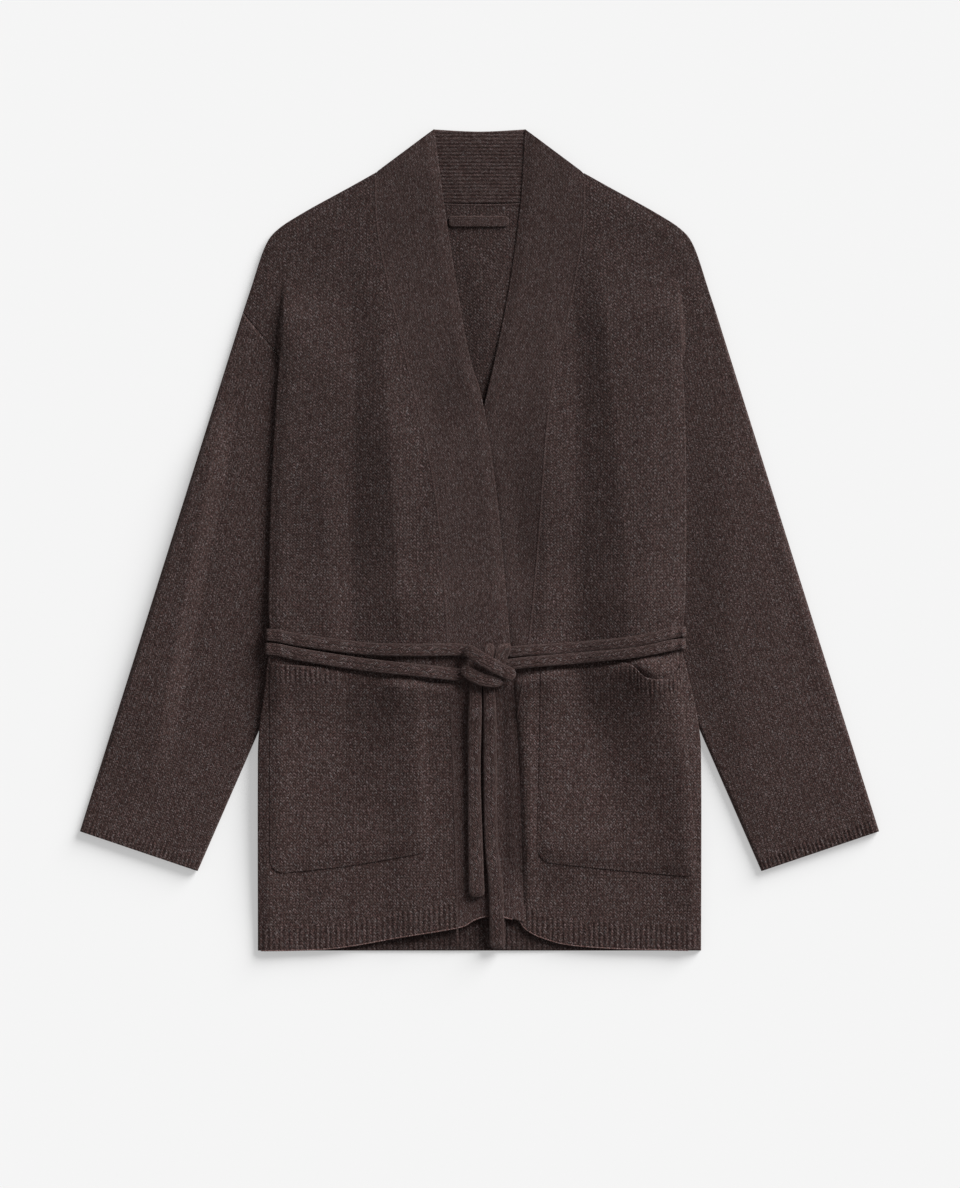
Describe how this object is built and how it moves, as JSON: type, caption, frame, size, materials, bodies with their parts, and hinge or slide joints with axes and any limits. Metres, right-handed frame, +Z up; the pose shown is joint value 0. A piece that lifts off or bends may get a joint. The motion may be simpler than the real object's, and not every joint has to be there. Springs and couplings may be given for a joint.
{
  "type": "wrap cardigan",
  "caption": "Long-sleeved knitted wrap cardigan laid flat, with patch pockets, a ribbed neckband and a tied belt.",
  "frame": {"origin": "centre of the bounding box on the surface the garment lies on", "axes": "+X to the wearer's left, +Y to the collar, +Z up from the surface the garment lies on"},
  "size_m": [0.743, 0.764, 0.0321],
  "materials": {
    "knit": "matt melange plain knit",
    "knit_back": "matt melange plain knit",
    "ribbed_band": "matt ribbed knit",
    "loop_knit": "matt knitted strip",
    "belt_knit": "matt tubular knit"
  },
  "bodies": {
    "root": {"back": "knit_back", "front_right": "knit", "front_left": "knit", "neckband": "ribbed_band", "sleeve_right": "knit", "sleeve_left": "knit", "pocket_right": "knit", "pocket_left": "knit", "hanger_loop": "loop_knit", "belt_knot": "belt_knit", "belt_right_upper": "belt_knit", "belt_right_lower": "belt_knit", "belt_left_upper": "belt_knit", "belt_left_lower": "belt_knit", "belt_tail_right": "belt_knit", "belt_tail_left": "belt_knit", "belt_back_upper": "belt_knit", "belt_back_lower": "belt_knit"}
  },
  "joints": []
}
